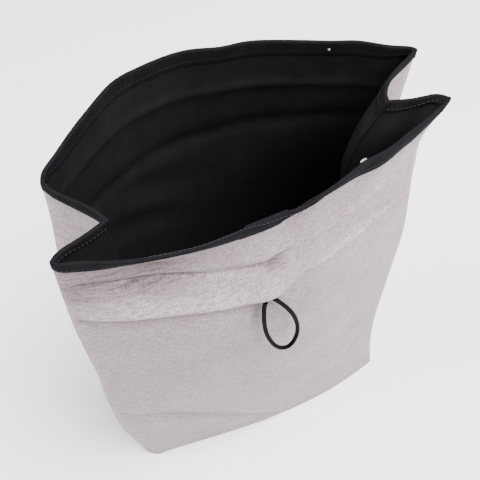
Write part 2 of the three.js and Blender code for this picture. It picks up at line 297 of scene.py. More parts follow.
def new_piece(name, points, faces, uvs, material):
    """A mesh object at the origin from points in millimetres, with its cut map in metres."""
    mesh = bpy.data.meshes.new(name)
    mesh.from_pydata((np.asarray(points) * MM).tolist(), [], faces)
    layer = mesh.uv_layers.new(name="cut")
    corner = np.empty(len(mesh.loops), dtype=int)
    mesh.loops.foreach_get("vertex_index", corner)
    layer.uv.foreach_set("vector", (np.asarray(uvs)[corner] * MM).astype(np.float32).ravel())
    mesh.materials.append(material)
    mesh.shade_smooth()
    mesh.set_sharp_from_angle(angle=SHARP_ANGLE)
    piece = bpy.data.objects.new(name, mesh)
    bpy.context.collection.objects.link(piece)
    return piece


print("edges sharper than", round(math.degrees(SHARP_ANGLE)), "degrees stay sharp")

# %% [markdown]
# ### Tubes
# Each ring takes over the direction of the ring before it and turns only as much as the route bends, so a
# tube never twists. Both ends are closed.

# %% Tube builder
# The first ring is turned by a direction that no route starts along
SKEW_AXIS = (0.3, 0.9, 0.2)


def tube(name, route, radius, sides, material):
    """A round tube with closed ends along points in millimetres, and its length. radius is one number, or one
    for each point."""
    route = np.asarray(route)
    radius = np.broadcast_to(radius, len(route))
    ahead = np.gradient(route, axis=0)
    ahead /= np.linalg.norm(ahead, axis=1)[:, None]
    run = np.concatenate([[0], np.cumsum(np.linalg.norm(np.diff(route, axis=0), axis=1))])
    side = np.cross(ahead[0], SKEW_AXIS)
    points, uvs, faces = [], [], []
    for i, centre in enumerate(route):
        side = side - ahead[i] * (side @ ahead[i])
        side /= np.linalg.norm(side)
        over = np.cross(ahead[i], side)
        for k in range(sides):
            angle = 2 * math.pi * k / sides
            points.append(centre + radius[i] * (math.cos(angle) * side + math.sin(angle) * over))
            uvs.append((radius[i] * angle, run[i]))
    for i in range(len(route) - 1):
        for k in range(sides):
            a, b = i * sides + k, i * sides + (k + 1) % sides
            faces.append((a, b, b + sides, a + sides))
    last = (len(route) - 1) * sides
    faces.append(tuple(range(sides - 1, -1, -1)))
    faces.append(tuple(range(last, last + sides)))
    return new_piece(name, points, faces, uvs, material), run[-1]


print("the first ring of a tube is square to", SKEW_AXIS)

# %% [markdown]
# ## Elastic loop
# The loop is one length of round elastic whose two ends are sewn under the fold of the front. It hangs by
# its own weight and stands off the cloth a little because elastic is springy. A tube is swept along the
# same route as the CAD cord.

# %% Loop
LOOP_ROOT = np.array((-16.18, -59.18, 287.15))
LOOP_PITCH, LOOP_YAW = math.radians(0.62), math.radians(-1.94)
CORD_STANDOFF = 2.7
CORD_DIAMETER = 3.0
# Below the root the cord stays with the wall for a little, then bends into the part that swings
# Each stop of the route: across, down and out from the root
CORD_ROUTE = [
    (-3.5, 0, 0), (-4.4, 6, 0.6), (-4.7, 14, 1.6), (-4.7, 22.5, 2.6), (-4, 32, 3.6), (-2.4, 42, 4.8),
    (0.9, 53.4, 6.1), (4.3, 61, 7), (8.3, 66.2, 7.5), (13.1, 67.9, 7.7), (17.1, 64.2, 7.3),
    (19.6, 56.4, 6.4), (20.1, 47.4, 5.4), (19, 38, 4.4), (16, 26.6, 3.1), (11.9, 16.8, 1.9),
    (7.9, 9, 1.1), (4.4, 3, 0.3), (2.5, 0, 0),
]
root_turn = np.array(Matrix.Rotation(LOOP_PITCH, 3, "X") @ Matrix.Rotation(LOOP_YAW, 3, "Z"))
loop_stops = [LOOP_ROOT + root_turn @ (x, -CORD_STANDOFF - out, -down) for x, down, out in CORD_ROUTE]
loop_route = smooth_route(loop_stops, steps=160)
loop, loop_length = tube("elastic_loop", loop_route, CORD_DIAMETER / 2, sides=16, material=elastic)
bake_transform(loop)
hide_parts("loop_cord")
print("loop of", round(loop_length, 1), "mm of elastic")

# %% [markdown]
# ## The shape of the cloth
# The bag is one cloth that folds along corner lines. Each corner fold is a line in space, written down as a
# few places that were read from the picture at different heights. A smooth curve joins them. A wall is then
# stretched between two corner folds and pushed out in the middle, which is how cloth stands when it is
# opened by hand. Adjoining panels use the same corner line, so no gap shows between them.

# %% Corner folds
CLOTH_HEIGHT = 355.0
HALF_PANEL = 130.0
HALF_GUSSET = 40.0


def smooth_between(stops, values, at):
    """A smooth curve through values at the stops, for any array of places, level past both ends."""
    stops, values = np.asarray(stops, float), np.asarray(values, float)
    slopes = np.gradient(values, stops)
    i = np.clip(np.searchsorted(stops, at) - 1, 0, len(stops) - 2)
    gap = stops[i + 1] - stops[i]
    t = np.clip((at - stops[i]) / gap, 0, 1)
    rise = values[i] * (2 * t ** 3 - 3 * t ** 2 + 1) + values[i + 1] * (3 * t ** 2 - 2 * t ** 3)
    return rise + gap * (slopes[i] * (t ** 3 - 2 * t ** 2 + t) + slopes[i + 1] * (t ** 3 - t ** 2))


# Each fold: heights along the cloth, x and y there, and how high its rim end stands
front_left = ([0, 90, 150, 205, 290, 355], [-121.2, -132, -135.5, -133, -131, -126],
              [-36.8, -35, -33, -30.5, -27, -23.8], 353.7)
front_right = ([0, 35, 92, 172, 237, 270, 305, 335, 355], [126, 120, 114, 115, 116, 112.5, 108.5, 109, 122],
               [-44, -41.5, -37.6, -32, -27.6, -25.3, -23, -21, -19.4], 357)
back_left = ([0, 90, 150, 290, 325, 355], [-130, -135, -134, -123, -118, -115],
             [40, 38, 36, 29, 26.5, 25.2], 356.5)
back_right = ([0, 150, 314, 355], [130, 127, 127, 126.5], [40, 33, 26.3, 24.3], 357.5)
left_valley = ([0, 80, 150, 200, 250, 300, 355], [-133, -141, -135, -123, -108, -94, -92.5],
               [0, 4, 2, 0, -2, -5, -7.2], 349)
right_valley = ([0, 50, 100, 150, 200, 250, 310, 335, 355], [130, 123, 115, 104, 91, 79, 72, 79, 91],
                [0, 0, 0, 0, 0, 0, 0, -1, -2], 353)


def fold_line(fold, height):
    heights, across, depth, top = fold
    rise = np.broadcast_to(height * top / CLOTH_HEIGHT, np.shape(height))
    x, y = (smooth_between(heights, values, height) for values in (across, depth))
    return np.stack([x, y, rise], -1)


print("rim corners:", [fold_line(f, CLOTH_HEIGHT).round(1).tolist() for f in (front_left, front_right)])

# %% [markdown]
# ### Rounded folds
# A fold in cloth is never sharp: both panels stand out a little beside it, most of all at the rim. That
# swelling is called a nose here. Two small functions serve all the shapes that follow: a straight rise
# between two places, and a bell-shaped hump.

# %% Rounded folds
# Each nose: how far it stands out at the left and at the right
NOSE_REACH = 4.0
FRONT_NOSE = (2.3, 1.0)
FRONT_PLEAT_NOSE = (2.3, 4.0)
BACK_NOSE = (3.2, 1.6)
# Low down a nose has only this share, and it grows between these heights
LOW_NOSE, NOSE_GROWS = 0.4, (230, 340)


def rising(at, low, high):
    return np.clip((at - low) / (high - low), 0, 1)


def hump(distance, width):
    return np.exp(-(distance / width) ** 2)


def nose(distance, height):
    """How far the cloth stands out at a distance from a corner fold, as a share of its most."""
    share = distance / NOSE_REACH
    return share * np.exp(1 - share) * (LOW_NOSE + (1 - LOW_NOSE) * rising(height, *NOSE_GROWS))


def wall_nose(noses, across, height):
    return np.where(across < 0, *noses) * nose(HALF_PANEL * (1 - np.abs(across)), height)


print("a nose stands out most", NOSE_REACH, "mm from its fold")

# %% [markdown]
# ### Front wall
# Places on a wall are given by across, from -1 at the left fold to 1 at the right one, and by height along
# the cloth. The front stands out in one broad swell that leans to one side, and it is never quite even.
# The creases come on top of that in the next cells. Each is a line across the wall and a profile across that
# line, so its place and its depth can be changed apart from each other.

# %% Front swell
FRONT_SWELL = ([0, 100, 200, 290, 325, 355], [13, 22, 29, 32, 28, 26])
LOW_SKEW, LOW_SKEW_END, HIGH_SKEW = 0.4, 120, 0.14
BROAD_WAVES, NARROW_WAVES = 0.9, 0.35


def front_swell(across, height):
    """How far the front stands out from the line between its corner folds."""
    skew = LOW_SKEW * (1 - rising(height, 0, LOW_SKEW_END)) - HIGH_SKEW * height / CLOTH_HEIGHT
    return smooth_between(*FRONT_SWELL, height) * (1 - across ** 2) * (1 + skew * across)


def soft_waves(across, height):
    """Slow, shallow unevenness that cloth always has."""
    broad = np.sin(3.1 * across + 0.013 * height + 0.4) * np.sin(0.021 * height - 1.7 * across)
    narrow = np.sin(9 * across - 0.031 * height) * np.sin(0.047 * height + 4 * across + 1)
    return BROAD_WAVES * broad + NARROW_WAVES * narrow


print("the front stands out by up to", max(FRONT_SWELL[1]), "mm")

# %% [markdown]
# ### Lower roll crease
# The front has been rolled down before. At the lower roll the cloth above hangs over like a lip and hides the
# loop's stitched ends. Pushing the cloth out can't make an overhang, so the lip also moves it down.

# %% Lower roll crease, with its lip
# Across the lip: distance up the cloth, then how far out and how far up or down the cloth moves there
LIP_STEPS = [-40, -8, -2, 0, 1.5, 3, 4.2, 6, 10, 20, 40]
LIP_OUT = [0, -1.4, -2.6, -2.4, 0.6, 3.8, 4.9, 5.0, 3.0, 0.2, 0]
LIP_RISE = [0, 0, 0, -0.2, -1.8, -4.2, -5.0, -5.2, -4.8, -3.2, 0]
LINING_RISE = [0, -1.5, -3.0, -3.4, -3.8, -4.2, -4.5, -4.9, -4.8, -3.2, 0]
# Along the lip: places across, then its height or its depth as a share
LIP_LINE = ([-1, -0.83, -0.62, -0.42, -0.2, -0.13, -0.06, 0, 0.04, 0.12, 0.4, 0.8, 1],
            [302, 306, 303.5, 299.8, 296.1, 294.3, 292.2, 288.9, 287.8, 290.5, 295, 291, 281])
LIP_DEPTH = ([-1, -0.8, -0.6, -0.1, 0.03, 0.15, 0.25, 1], [0.95, 1.1, 1, 1, 0.75, 0.3, 0, 0])
# Over the loop's root the lip stands out further
OVER_LOOP, OVER_LOOP_AT, OVER_LOOP_REACH = 0.5, -0.06, 0.07


def above_lip(across, height):
    return height - smooth_between(*LIP_LINE, across)


def lip_move(across, height, moves):
    """How far the lip moves the cloth, for one of the lists of moves across it."""
    return smooth_between(*LIP_DEPTH, across) * smooth_between(LIP_STEPS, moves, above_lip(across, height))


def lip_crease(across, height):
    over_loop = 1 + OVER_LOOP * hump(across - OVER_LOOP_AT, OVER_LOOP_REACH)
    return over_loop * lip_move(across, height, LIP_OUT), lip_move(across, height, LIP_RISE)


print("the lip hangs over by up to", -min(LIP_RISE), "mm")

# %% [markdown]
# ### Cloth under the rim
# Under the rim the cloth is drawn in by the stitching, so the tape flares out above it. At the left that
# hollow starts at the lip, and at the middle and right it lies close under the tape.

# %% Hollow under the rim
# Across the wall: how deep the hollow is, how far the rim leans out, and how far the cloth below it flares
HOLLOW_DEPTH = ([-1, -0.85, -0.7, -0.55, -0.4, -0.2, 0, 0.12, 0.25, 0.36, 0.45, 0.6, 1],
                [1, 2.5, 4.9, 6, 5.2, 4, 4.5, 7, 6.5, 5.2, 3.4, 1, 0])
RIM_LEAN = ([-1, -0.9, -0.8, -0.7, -0.5, -0.38, -0.3, -0.2, -0.1, 0, 0.05, 0.12, 0.2, 0.3, 1],
            [0, 0.8, 2.4, 3.4, 3.5, 2.8, 1.8, 0.9, 0.5, 0.9, 2, 2.4, 1, 0, 0])
RIM_FLARE = ([-1, 0.35, 0.45, 0.56, 0.63, 0.7, 0.82, 0.93, 1], [0, 0, -0.4, 1.6, 1.7, 1.0, 1.2, 0.8, 0])
# Up the wall: the hollow's share above the lip, at heights, and just below the rim
LEFT_HOLLOW = ([0, 4, 12, 20, 36], [0, 0.15, 0.85, 1.05, 1.2])
MIDDLE_HOLLOW = ([285, 300, 325, 338], [0, 0.1, 0.55, 1])
HOLLOW_ENDS = ([338, 345, 351, 355], [1, 0.67, 0.3, 0])
RIM_CURL, CURL_AT, CURL_REACH = 1.1, 0.52, 0.15


def rim_hollow(across, height):
    leftness = np.clip(-6 * across - 0.3, 0, 1)
    left = smooth_between(*LEFT_HOLLOW, above_lip(across, height)) * leftness
    middle = smooth_between(*MIDDLE_HOLLOW, height) * (1 - leftness)
    hollow = smooth_between(*HOLLOW_DEPTH, across) * (left + middle) * smooth_between(*HOLLOW_ENDS, height)
    flare = smooth_between(*RIM_FLARE, across) * rising(height, 300, 350)
    lean = smooth_between(*RIM_LEAN, across) * rising(height, 342, CLOTH_HEIGHT) ** 1.3
    curl = RIM_CURL * hump(across - CURL_AT, CURL_REACH) * rising(height, 343, CLOTH_HEIGHT) ** 1.5
    return flare + lean - hollow - curl


print("the cloth is drawn in under the rim by up to", max(HOLLOW_DEPTH[1]), "mm")

# %% [markdown]
# ### Upper roll crease and slanting crease
# The upper roll left a sharp valley, with a crest above it and a small hollow at its middle. A slanting
# crease cuts off the lower left corner: the cloth stands out above it and sinks in below it.

# %% Upper roll crease and slanting crease
VALLEY_LINE = ([-1, -0.8, -0.65, -0.5, -0.4, -0.3, -0.2, -0.1, 0, 0.05, 0.4, 1],
               [333.5, 331.2, 329, 326, 323.4, 320.9, 319, 316.5, 314.9, 315.6, 317, 319])
VALLEY_DEPTH = ([-1, -0.8, -0.42, -0.22, -0.12, -0.02, 0.06, 0.12, 0.2, 1],
                [0.9, 1, 0.95, 0.6, 0.9, 1.5, 1, 0.3, 0, 0])
VALLEY_CREST, VALLEY_CREASE, DIMPLE, SHORT_VALLEY = 1.3, 3.8, 3.4, 1.2
SLANT_LINE = ([-1, -0.83, -0.66, -0.45, -0.22, 0.03, 0.3], [149, 144, 138, 114, 74, 14, -60])
SLANT_DEPTH = ([-1, -0.6, -0.2, 0.03, 0.1, 1], [0.8, 1, 0.9, 0.5, 0, 0])
SLANT_ABOVE, SLANT_SINK, SLANT_SWELL = 5.0, 2.2, 2.8


def valley_crease(across, height):
    up = height - smooth_between(*VALLEY_LINE, across)
    profile = VALLEY_CREST * hump(up - 6, 3.2) - VALLEY_CREASE * np.exp(-np.abs(up) / 2.2)
    dimple = DIMPLE * hump(across + 0.01, 0.06) * hump(up + 4, 6)
    from_short_valley = np.abs(height - 341 + 30 * (across + 0.6))
    short_valley = SHORT_VALLEY * hump(across + 0.6, 0.1) * np.exp(-from_short_valley / 1.8)
    return smooth_between(*VALLEY_DEPTH, across) * profile - dimple - short_valley


def slant_crease(across, height):
    up = height - smooth_between(*SLANT_LINE, across)
    below = np.clip(-up, 0, None)
    above = SLANT_ABOVE * np.exp(-np.clip(up, 0, None) / 24) * rising(up, 0, 3.5)
    under = SLANT_SWELL * hump(below - 34, 18) - SLANT_SINK * np.exp(-below / 5)
    return smooth_between(*SLANT_DEPTH, across) * (above + under * (up < 0))


print("the upper crease is up to", VALLEY_CREASE, "mm deep")

# %% [markdown]
# ### Small wrinkles
# Smaller marks of use: fine level wrinkles at the top left, slanting ones at the lower right, two dents
# beside the loop, a fold at the left and two ridges at the right. Each is a hump along a line, kept to its
# own part of the wall by a second hump.

# %% Small wrinkles
# Ripples: their depth, and for across and height their middle, their reach and how fast the wave turns
TOP_LEFT_RIPPLES = {"depth": 0.45, "middle": (-0.85, 318), "reach": (0.25, 16), "turn": (5, 0.85)}
LOW_RIGHT_RIPPLES = {"depth": 0.5, "middle": (0.78, 95), "reach": (0.18, 45), "turn": (-21, 0.16)}
# Dents and ridges: how far they stand out, their middle as across and height, their slant, width and reach
LEVEL_MARKS = ((-0.9, -0.88, 262, -40, 3, 0.12), (1.9, 0.68, 323.6, 20, 2.4, 0.2))
UPRIGHT_MARKS = ((-2.0, -0.126, 275, 0.0022, 0.016, 13), (-1.6, -0.0125, 282, -0.0025, 0.016, 8))
LONG_RIDGE, LONG_RIDGE_WIDTH, LONG_RIDGE_STARTS = 1.9, 0.9, (0.075, 0.325)


def ripples(across, height, depth, middle, reach, turn):
    here = hump(across - middle[0], reach[0]) * hump(height - middle[1], reach[1])
    return depth * here * np.sin(turn[0] * across + turn[1] * height)


def small_wrinkles(across, height):
    out = ripples(across, height, **TOP_LEFT_RIPPLES) + ripples(across, height, **LOW_RIGHT_RIPPLES)
    for stands_out, middle, level, slant, width, reach in LEVEL_MARKS:
        line = level + slant * (across - middle)
        out = out + stands_out * hump(height - line, width) * hump(across - middle, reach)
    for stands_out, middle, level, slant, width, reach in UPRIGHT_MARKS:
        line = middle + slant * (height - level)
        out = out + stands_out * hump(across - line, width) * hump(height - level, reach)
    long_ridge = hump(above_lip(across, height), LONG_RIDGE_WIDTH) * rising(across, *LONG_RIDGE_STARTS)
    return out + LONG_RIDGE * long_ridge


print("dents and ridges:", len(LEVEL_MARKS) + len(UPRIGHT_MARKS) + 1)

# %% [markdown]
# ### The front from its parts
# The parts are added up along the line between the two corner folds, and fade out at those folds, so that the
# pleats still meet the wall. The rim sags a little at its middle.

# %% Front wall from its parts
FRONT_SAG = 2.6


def between_folds(left_fold, right_fold, across, height):
    share = ((1 + across) / 2)[..., None]
    return fold_line(left_fold, height) * (1 - share) + fold_line(right_fold, height) * share


def front_calm(across, height):
    """The front without its lip."""
    place = between_folds(front_left, front_right, across, height)
    calm = rising(height, 0, 40) * rising(CLOTH_HEIGHT - height, 0, 30)
    out = rim_hollow(across, height) + valley_crease(across, height)
    out = out + slant_crease(across, height) * rising(height, 0, 8)
    out = out + small_wrinkles(across, height) + soft_waves(across, height) * calm
    out = out * (1 - np.abs(across) ** 16) + wall_nose(FRONT_NOSE, across, height)
    place[..., 1] -= front_swell(across, height) + out
    place[..., 2] -= FRONT_SAG * (1 - across ** 2) * (height / CLOTH_HEIGHT) ** 2
    return place


def front_wall(across, height):
    place = front_calm(across, height)
    out, rise = lip_crease(across, height)
    free = 1 - np.abs(across) ** 16
    place[..., 1] -= out * free
    place[..., 2] += rise * free
    return place


print("front wall at its middle, half way up:", front_wall(np.zeros(1), np.full(1, 180.0)).round(1).tolist())

# %% [markdown]
# ### Lining of the front, and wrinkles and painted shade on the linen
# The lining follows the linen but not its lip, and keeps clear of the lip's root. Where the top has been
# rolled, the linen is wrinkled and its colour is darkened as painted shade, and the small hollow in the upper
# crease gets a painted shadow: a share for each place says how strongly, and the linen's material reads it.

# %% Front lining and painted shade on the wrinkled linen
LINING_CLEAR, LINING_CLEAR_REACH = 2.9, 14
# Heights above the lip over which the painted shade and wrinkles at the top left grow in
WRINKLE_AND_SHADE_ABOVE_LIP = (11, 21)


def front_lining(across, height):
    place = front_calm(across, height)
    free = 1 - np.abs(across) ** 8
    place[..., 1] += LINING_CLEAR * hump(above_lip(across, height), LINING_CLEAR_REACH) * free
    place[..., 2] += lip_move(across, height, LINING_RISE) * free
    return place


def wrinkle_and_shade_band(across, height):
    """How much fine wrinkling and painted shade the linen gets: painted shade with wrinkles on the band at
    the top left above the lip, and a painted shadow in the small hollow at the middle of the upper crease."""
    # Painted shade, with fine wrinkles, on the band at the top left above the lip
    top_left = rising(above_lip(across, height), *WRINKLE_AND_SHADE_ABOVE_LIP) * np.clip(-3 * across - 0.75, 0, 1)
    # Painted shadow in the small hollow under the upper crease
    hollow = 1.2 * hump(across - 0.01, 0.055) * hump(height - 311 - 25 * across, 4.5)
    return np.clip(top_left + hollow, 0, 1)


print("behind the lip the lining stands", LINING_CLEAR, "mm clear")

# %% [markdown]
# ### Back wall
# The back wall stands out further than the front, because the mouth is pulled open towards it. It has the
# same two rolls, only fainter, and its rim runs in three slow waves.

# %% Back wall
BACK_SWELL = ([0, 100, 200, 290, 325, 355], [13, 26, 37, 46, 51, 56])
BACK_SKEW, BACK_RISE, BACK_CREASE = 0.35, 3.0, 1.8
BACK_RIPPLES = {"depth": 1.0, "middle": (-0.45, 250), "reach": (0.3, 45), "turn": (9, 0.16)}
# Waves of the rim: how far out, the place across and the reach. They begin at a height of their own.
RIM_WAVES = ((3, -0.5, 0.13), (-3.6, 0.08, 0.12), (3, 0.76, 0.1))
RIM_WAVES_START = 240


def back_wall(across, height):
    place = between_folds(back_left, back_right, across, height)
    rise = height / CLOTH_HEIGHT
    creases = hump(height - 291 - 4 * across, 7) - np.exp(-np.abs(height - 326 + 3 * across) / 3)
    waves = sum(out * hump(across - at, reach) for out, at, reach in RIM_WAVES)
    creases = BACK_CREASE * creases + ripples(across, height, **BACK_RIPPLES)
    creases = creases + waves * rising(height, RIM_WAVES_START, CLOTH_HEIGHT) ** 2
    calm = rising(height, 0, 40) * (1 - np.abs(across) ** 8)
    swell = smooth_between(*BACK_SWELL, height) * (1 - across ** 2) * (1 - BACK_SKEW * across * rise ** 2)
    uneven = (soft_waves(across + 2, height) + creases) * calm
    place[..., 1] += swell + uneven + wall_nose(BACK_NOSE, across, height)
    place[..., 2] += BACK_RISE * (1 - across ** 2) * rise ** 2
    return place


print("the back stands out by up to", max(BACK_SWELL[1]), "mm")

# %% [markdown]
# ### Shape of a pleat
# Each side is a pleat: two halves that run from a corner fold to the valley in the middle. A quadratic curve
# with its middle point beside the valley gives the flat side low down and the sharp pleat at the rim.

# %% Shape of a pleat
PLEAT_WAVE = 0.6
FLAT_MOST = 0.9
VALLEY_TURNS = (180, 300)


def pleat_half(corner_fold, valley_fold, corner_nose, valley_round):
    """A surface from a corner fold at 0 to the valley at 1. corner_nose swells the corner out across the
    pleat, and valley_round is how early the rim turns along the valley."""
    def place(across, height):
        corner, valley = fold_line(corner_fold, height), fold_line(valley_fold, height)
        flat_share = 1 - rising(height, 0, CLOTH_HEIGHT + 2)
        turn_share = np.maximum(FLAT_MOST * flat_share, valley_round * rising(height, *VALLEY_TURNS))
        bend = valley.copy()
        bend[..., 1] = valley[..., 1] + (corner[..., 1] - valley[..., 1]) * turn_share
        t = across[..., None]
        surface = corner * (1 - t) ** 2 + 2 * bend * t * (1 - t) + valley * t ** 2
        wave = np.sin(0.05 * height + 3 * across) * np.sin(math.pi * across) * rising(height, 0, 60)
        surface[..., 0] += PLEAT_WAVE * wave
        surface[..., 1] += corner_nose * nose(HALF_GUSSET * across, height)
        return surface
    return place


print("deepest inward point of the right pleat:", min(right_valley[1]), "mm")

# %% [markdown]
# ## Cloth pieces
# A piece of cloth starts as a grid of points on the wall function. Rows are closer together where a crease
# needs them. The normal at each point tells which way is in, so that a thickness can be laid on later.

# %% Grid of a surface
def rows_between(*stretches):
    """Heights with a row count of their own for each stretch."""
    parts = [np.linspace(low, high, count, endpoint=False) for low, high, count in stretches]
    return np.concatenate(parts + [[stretches[-1][1]]])


def surface_frame(place, across, height, inside):
    """Grid points of a surface, its unit normals, turned away from the point inside the bag, and whether
    they had to be turned."""
    grid = place(*np.meshgrid(across, height))
    normal = np.cross(np.gradient(grid, axis=1), np.gradient(grid, axis=0))
    normal /= np.maximum(np.linalg.norm(normal, axis=2), 1e-9)[..., None]
    middle = (len(height) // 2, len(across) // 2)
    turned = normal[middle] @ (grid[middle] - np.asarray(inside, float)) < 0
    return grid, -normal if turned else normal, turned


front_rows = rows_between((0, 160, 110), (160, 270, 30), (270, 315, 84), (315, 355, 50))
back_rows = rows_between((0, 275, 70), (275, 355, 40))
pleat_rows = rows_between((0, 275, 60), (275, 355, 30))
print("rows:", len(front_rows), "front,", len(back_rows), "back,", len(pleat_rows), "pleats")

# %% [markdown]
# ### Sheets
# A woven piece is a sheet with two faces and a narrow edge. The outer face lies on the grid or a little
# inside it, and the inner face lies one thickness further in, along the normals. A modifier could add the
# thickness, but here the layers have to thin out towards the folds.

# %% Sheet builder
# Closer than this to a corner fold the layers thin out, down to this share at the fold
THIN_EDGE, PRESSED = 9.0, 0.05
# Each sheet is cut from another place of the patterned cloth, this far from the last
CUT_SPACING = 431.0
INSIDE_BAG = (0, 0, 180)


def cloth_sheet(name, place, across, height, width, depth, thickness, material, from_fold, wrinkle_and_shade=None):
    """A sheet whose outer face lies depth inside the surface. from_fold(across) is the distance to the
    nearest corner fold: close to it all layers are pressed thin, so that none comes out past the fold.
    The last argument, if given, is a function of across and height that says how wrinkled the cloth is and
    how much painted shade its material lays on it."""
    grid, normal, turned = surface_frame(place, across, height, INSIDE_BAG)
    a, h = np.meshgrid(across, height)
    press = PRESSED + (1 - PRESSED) * rising(from_fold(a), 0, THIN_EDGE)[..., None]
    outer = (grid - normal * depth * press).reshape(-1, 3)
    inner = (grid - normal * (depth + thickness) * press).reshape(-1, 3)
    index = np.arange(a.size).reshape(a.shape)
    quads = np.stack([index[:-1, :-1], index[:-1, 1:], index[1:, 1:], index[1:, :-1]], -1).reshape(-1, 4)
    rim = np.concatenate([index[0, :-1], index[:-1, -1], index[-1, :0:-1], index[:0:-1, 0]])
    if turned:
        quads, rim = quads[:, ::-1], rim[::-1]
    following = np.roll(rim, -1)
    edge = np.stack([following, rim, rim + a.size, following + a.size], -1)
    faces = np.concatenate([quads, quads[:, ::-1] + a.size, edge]).tolist()
    flat = np.stack([a * width + CUT_SPACING * len(bpy.data.meshes), h], -1).reshape(-1, 2)
    points = np.concatenate([outer, inner])
    points[:, 2] = np.maximum(points[:, 2], 0)
    piece = new_piece(name, points, faces, np.concatenate([flat, flat]), material)
    # The share of wrinkles and painted shade is stored on the points, for the linen's material
    if wrinkle_and_shade:
        layer = piece.data.attributes.new("wrinkle_and_shade", "FLOAT", "POINT")
        layer.data.foreach_set("value", np.tile(wrinkle_and_shade(a, h).ravel(), 2))
    return piece


print("layers thin out within", THIN_EDGE, "mm of a fold")

# %% [markdown]
# ### Linen and lining together
# Every panel has both layers: the linen, and the lining one millimetre further in on the same surface.

# %% Two layers
LINEN_THICKNESS = 0.7
LINING_INSET = 1.0
LINING_THICKNESS = 0.5


def two_layers(name, places, columns, rows, width, from_fold, wrinkle_and_shade=None):
    """A panel's linen and lining, each with the word its CAD node starts with and its slot. places and
    columns hold one for the linen and one for the lining."""
    shell = cloth_sheet(f"linen_{name}", places[0], columns[0], rows, width, 0, LINEN_THICKNESS, linen,
                        from_fold, wrinkle_and_shade)
    lining = cloth_sheet(f"lining_{name}", places[1], columns[1], rows, width, LINING_INSET,
                         LINING_THICKNESS, cotton, from_fold)
    return (shell, "shell", "linen"), (lining, "lining", "lining")


print("layers, in mm:", LINEN_THICKNESS, "linen,", LINING_THICKNESS, "lining")

# %% [markdown]
# ### Front and back panels
# These two ride on their own CAD walls, which tip as the mouth closes. The front has more rows, because its
# creases are sharper.

# %% Front and back panels
COLUMN_EASE = 0.75


def wall_columns(end, count):
    """Places across a wall, closer together towards the corner folds."""
    angles = np.linspace(-math.pi / 2, math.pi / 2, count) * COLUMN_EASE
    return end * np.sin(angles) / math.sin(math.pi / 2 * COLUMN_EASE)


def from_wall_fold(across):
    return HALF_PANEL * (1 - np.abs(across))


# The front's linen gets wrinkles and painted shade; the back gets none
for wall, places, columns, rows, wrinkle_and_shade in (
        ("front", (front_wall, front_lining), wall_columns(1, 139), front_rows, wrinkle_and_shade_band),
        ("back", (back_wall, back_wall), wall_columns(1, 101), back_rows, None)):
    for piece, layer, slot in two_layers(wall, places, (columns, columns), rows, HALF_PANEL, from_wall_fold,
                                         wrinkle_and_shade):
        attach(piece, f"{wall}_wall")
        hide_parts(f"{layer}_{wall}_panel")
    print(wall, "panel:", len(piece.data.polygons), "faces a layer")

# %% [markdown]
# ### Pleats
# A pleat half is sewn to a wall on one side and stays in the middle of the bag on the other. Its mesh stays
# where it is built. The lining goes a little past the valley, so that its two halves overlap there.

# %% Pleat halves
# Each half: its corner fold, its valley, its corner's nose, and how early the rim turns along the valley
PLEAT_SHAPES = {
    ("left", "front"): (front_left, left_valley, FRONT_PLEAT_NOSE[0], 0),
    ("left", "back"): (back_left, left_valley, -BACK_NOSE[0], 0.15),
    ("right", "front"): (front_right, right_valley, FRONT_PLEAT_NOSE[1], 0),
    ("right", "back"): (back_right, right_valley, -BACK_NOSE[1], 0.5),
}
pleats = {half: pleat_half(*shape) for half, shape in PLEAT_SHAPES.items()}


def fold_with(piece):
    """The piece's place is baked into its mesh."""
    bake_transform(piece)


def from_pleat_fold(across):
    return HALF_GUSSET * across


pleat_across = np.linspace(0, 1, 33) ** 1.35
lining_across = np.append(pleat_across, [1.04, 1.08])
for (side, wall), place in pleats.items():
    for piece, layer, slot in two_layers(f"{side}_{wall}_pleat", (place, place),
                                         (pleat_across, lining_across), pleat_rows, HALF_GUSSET,
                                         from_pleat_fold):
        fold_with(piece)
        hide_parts(f"{layer}_{side}_{wall}_gusset", f"{layer}_{side}_side")
print("pleat halves:", len(pleats))

# %% [markdown]
# ### Base
# The base is a flat sheet whose outline is the foot of the walls and pleats. It is filled in rows that run
# from the front edge to the back edge, and its ends are bowed to meet the feet of the pleats.

# %% Base
def side_foot(side):
    """The foot of a pleated side, as y and x of points from the front corner to the back corner."""
    steps = np.linspace(0, 1, 40)
    ground = np.zeros_like(steps)
    run = np.concatenate([pleats[side, "front"](steps, ground), pleats[side, "back"](steps[::-1], ground)])
    return run[:, 1], run[:, 0]


base_ends = ((-1, front_left, back_left, side_foot("left")), (1, front_right, back_right, side_foot("right")))


def base_sheet(across, height):
    """across goes from left to right, height from the front edge to the back edge."""
    foot = np.zeros_like(across)
    share = (height / CLOTH_HEIGHT)[..., None]
    place = front_wall(across, foot) * (1 - share) + back_wall(across, foot) * share
    for end, near, far, side in base_ends:
        straight = fold_line(near, foot) * (1 - share) + fold_line(far, foot) * share
        bow = np.interp(straight[..., 1], *side) - straight[..., 0]
        place[..., 0] += np.where(across * end > 0, across ** 6 * bow, 0)
    return place


base_rows = np.linspace(0, CLOTH_HEIGHT, 25)
base_columns = wall_columns(1, 61)
for piece, layer, slot in two_layers("base", (base_sheet, base_sheet), (base_columns, base_columns),
                                     base_rows, HALF_PANEL, from_wall_fold):
    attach(piece, "base")
    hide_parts(f"{layer}_base_panel")
print("base sheet rows:", len(base_rows))

# %% [markdown]
# ## Binding
# A tape is folded over the rim and sewn through both leaves. Its places are measured from the rim of each
# panel, at the panel's own surface, so it follows every wave. On the pleats it is narrower, and where it
# turns a corner it is gathered.

